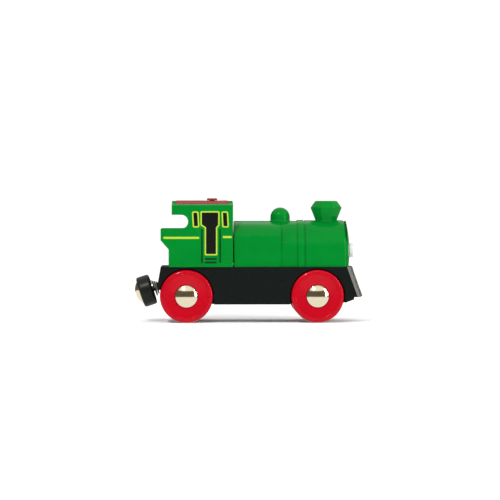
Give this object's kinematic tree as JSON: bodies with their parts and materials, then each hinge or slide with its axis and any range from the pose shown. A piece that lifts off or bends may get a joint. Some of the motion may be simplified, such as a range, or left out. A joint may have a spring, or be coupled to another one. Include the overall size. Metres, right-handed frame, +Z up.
{
  "type": "toy train locomotive",
  "caption": "Battery-driven toy steam locomotive for grooved wooden track, with lift-off boiler hood, roof slide switch, worm drive and drooping magnet coupler.",
  "frame": {"origin": "on the surface the wheels stand on, under the middle of the engine's length and width", "axes": "+X towards the plow, +Z up, +Y to the engine's left"},
  "size_m": [0.1046, 0.0342, 0.0565],
  "materials": {
    "chassis_black": "satin moulded",
    "shell_green": "glossy moulded",
    "trim_red": "glossy moulded",
    "wheel_red": "glossy moulded",
    "cap_nickel": "polished, slightly warm",
    "steel": "bright drawn",
    "screw_steel": "zinc plated",
    "motor_steel": "rolled",
    "motor_cap_white": "moulded",
    "gear_white": "moulded",
    "brass": "machined",
    "contact_nickel": "nickel plated",
    "plow_silver": "silver paint",
    "tyre_rubber": "matt",
    "inner_black": "moulded",
    "coupler_black": "satin moulded",
    "magnet_grey": "sintered",
    "cell_wrap": "plain printed sleeve with a bare steel stud",
    "wire_red": "insulated",
    "wire_black": "insulated",
    "lamp_white": "glossy moulded",
    "lens_clear": "clear"
  },
  "bodies": {
    "engine": {"chassis_frame": "chassis_black", "bottom_plate": "chassis_black", "plate_screws": "screw_steel", "plow": "plow_silver", "coupler_post": "steel", "cab_shell": "shell_green", "cab_screws": "screw_steel", "roof_panel": "trim_red", "switch_base": "inner_black", "motor_can": "motor_steel", "motor_endcap": "motor_cap_white", "battery": "cell_wrap", "battery_spring": "steel", "battery_plates": "contact_nickel", "wire_positive": "wire_red", "wire_negative": "wire_black", "wire_motor": "wire_red", "hood_screws": "screw_steel"},
    "battery_hood": {"boiler_hood": "shell_green", "chimney": "shell_green", "steam_dome": "shell_green", "headlamp_bezel": "lamp_white", "headlamp_lens": "lens_clear"},
    "switch": {"switch_button": "trim_red", "switch_blade": "brass"},
    "rear_wheelset": {"rear_axle": "steel", "axle_gear": "gear_white", "rear_wheel_left": "wheel_red", "rear_wheel_right": "wheel_red", "tyre_left": "tyre_rubber", "tyre_right": "tyre_rubber", "rear_cap_left": "cap_nickel", "rear_cap_right": "cap_nickel"},
    "front_wheelset": {"front_axle": "steel", "front_wheel_left": "wheel_red", "front_wheel_right": "wheel_red", "front_cap_left": "cap_nickel", "front_cap_right": "cap_nickel"},
    "motor_rotor": {"motor_shaft": "steel", "worm": "brass"},
    "coupler_link": {"coupler_arm": "coupler_black"},
    "coupler_head": {"coupler_pin": "steel", "magnet_holder": "coupler_black", "magnet": "magnet_grey", "magnet_cap": "cap_nickel", "coupler_spring": "steel"}
  },
  "joints": [
    {"name": "rear_axle_spin", "type": "hinge", "parent": "engine", "child": "rear_wheelset", "pos_m": [-0.0286, 0, 0.012], "axis": [0, 1, 0], "continuous": true},
    {"name": "front_axle_spin", "type": "hinge", "parent": "engine", "child": "front_wheelset", "pos_m": [0.0307, 0, 0.012], "axis": [0, 1, 0], "continuous": true},
    {"name": "motor_spin", "type": "hinge", "parent": "engine", "child": "motor_rotor", "pos_m": [-0.02035, 0, 0.012], "axis": [0, 0, 1], "continuous": true},
    {"name": "switch_slide", "type": "slide", "parent": "engine", "child": "switch", "axis": [1, 0, 0], "range_m": [-0.0025, 0.0025]},
    {"name": "hood_lift", "type": "slide", "parent": "engine", "child": "battery_hood", "axis": [0, 0, 1], "range_m": [0, 0.035]},
    {"name": "coupler_yaw", "type": "hinge", "parent": "engine", "child": "coupler_link", "pos_m": [-0.038, 0, 0.0155], "axis": [0, 0, 1], "range_deg": [-15, 15]},
    {"name": "coupler_pitch", "type": "hinge", "parent": "coupler_link", "child": "coupler_head", "pos_m": [-0.0424, 0, 0.0155], "axis": [0, 1, 0], "range_deg": [0, 30]}
  ],
  "couplings": [
    {"joint": "motor_spin", "follows": "rear_axle_spin", "ratio": 22}
  ]
}
